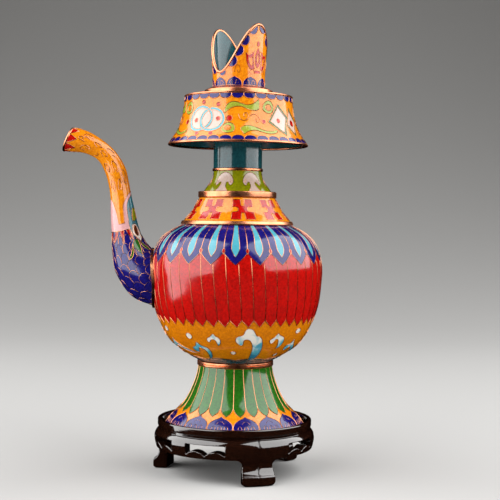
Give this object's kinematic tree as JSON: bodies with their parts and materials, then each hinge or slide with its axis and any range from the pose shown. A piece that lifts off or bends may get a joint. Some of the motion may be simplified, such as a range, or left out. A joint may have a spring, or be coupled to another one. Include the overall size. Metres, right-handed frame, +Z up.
{
  "type": "ritual vase",
  "caption": "Ewer-like ritual vase with a tall curved spout, lobed mouth, round hat and flared foot, in bright enamel between copper rings, on a low round footed stand.",
  "frame": {"origin": "on the vase's axis, on the surface that the stand's feet rest on", "axes": "+Z up along the vase's axis; the spout points along -X; the front faces -Y"},
  "size_m": [0.1239, 0.0814, 0.21],
  "materials": {
    "lacquered_wood": "gloss",
    "copper": "polished",
    "teal_enamel": "gloss",
    "red_enamel": "gloss",
    "green_enamel": "gloss",
    "yellow_enamel": "gloss",
    "olive_enamel": "gloss",
    "blue_enamel": "gloss"
  },
  "bodies": {
    "stand": {"stand_apron_1": "lacquered_wood", "stand_apron_2": "lacquered_wood", "stand_apron_3": "lacquered_wood", "stand_floor": "lacquered_wood", "stand_lip_ring": "lacquered_wood"},
    "vase": {"belly_enamel": "red_enamel", "belly_lower_shell": "copper", "belly_upper_shell": "copper", "collar_enamel": "yellow_enamel", "collar_ring": "copper", "collar_shell": "copper", "foot_base_rim": "copper", "foot_enamel": "green_enamel", "foot_ring": "copper", "foot_shell": "copper", "hat_enamel": "yellow_enamel", "hat_lining": "teal_enamel", "hat_lower_rim": "copper", "hat_shell": "copper", "hat_top_plate": "copper", "mouth_collar_ring": "copper", "mouth_edge_rim": "copper", "mouth_enamel": "yellow_enamel", "mouth_lining": "teal_enamel", "mouth_tube": "copper", "neck_enamel": "teal_enamel", "neck_flare_enamel": "olive_enamel", "neck_flare_shell": "copper", "neck_ring": "copper", "neck_tube": "copper", "shoulder_ring": "copper", "spout_enamel": "blue_enamel", "spout_lip_ring": "copper", "spout_root_collar": "copper", "spout_tube": "copper"}
  },
  "joints": [
    {"name": "vase_lift", "type": "slide", "parent": "stand", "child": "vase", "axis": [0, 0, 1], "range_m": [0, 0.04]}
  ]
}
